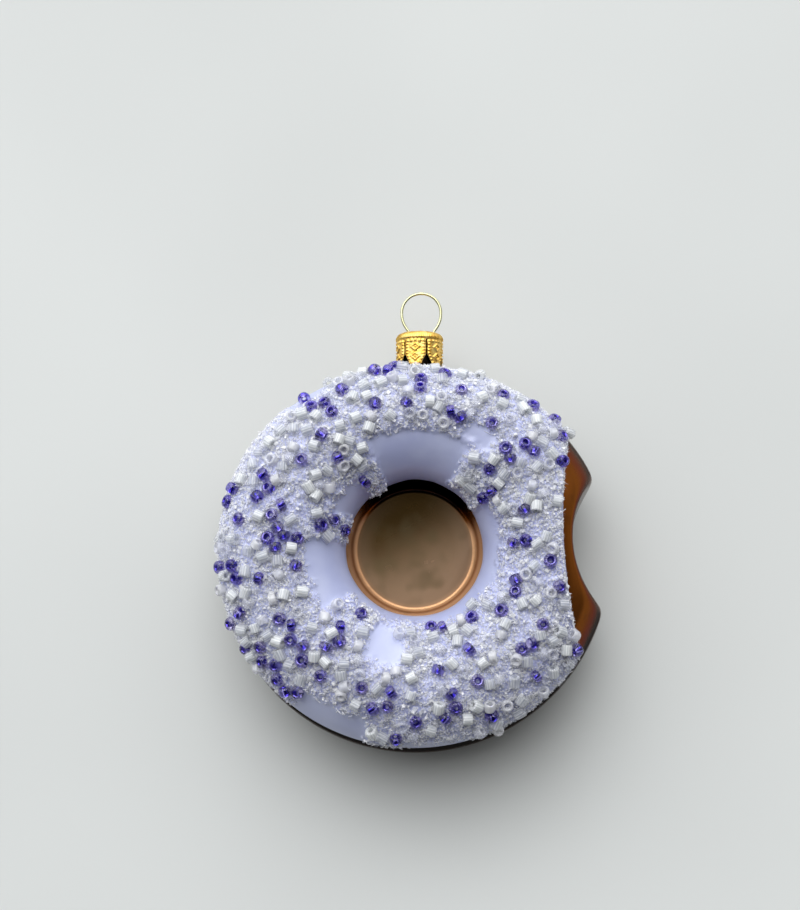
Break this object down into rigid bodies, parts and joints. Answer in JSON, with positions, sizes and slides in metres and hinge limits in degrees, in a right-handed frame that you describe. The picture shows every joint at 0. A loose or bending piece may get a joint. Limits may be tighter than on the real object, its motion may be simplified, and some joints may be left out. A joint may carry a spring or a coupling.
{
  "type": "doughnut glass ornament",
  "caption": "Hanging glass ornament shaped like a bitten ring doughnut, with lavender frosting, grit and beads, a gold cap and a wire loop.",
  "frame": {"origin": "middle of the bounding box's bottom face, on the surface the ornament lies on", "axes": "+Z out of the frosted face, +Y towards the hanging cap, +X towards the bite"},
  "size_m": [0.0824, 0.1002, 0.036],
  "materials": {
    "copper_glass": "copper-brown mirrored glass, high gloss, opaque",
    "lavender_frosting": "matte lavender lacquer with clear grit and glass beads",
    "gold_foil": "bright stamped gold",
    "pale_brass": "polished wire"
  },
  "bodies": {
    "root": {"glass_body": "copper_glass", "beaded_frosting": "lavender_frosting", "cap": "gold_foil", "wire_loop": "pale_brass"}
  },
  "joints": []
}
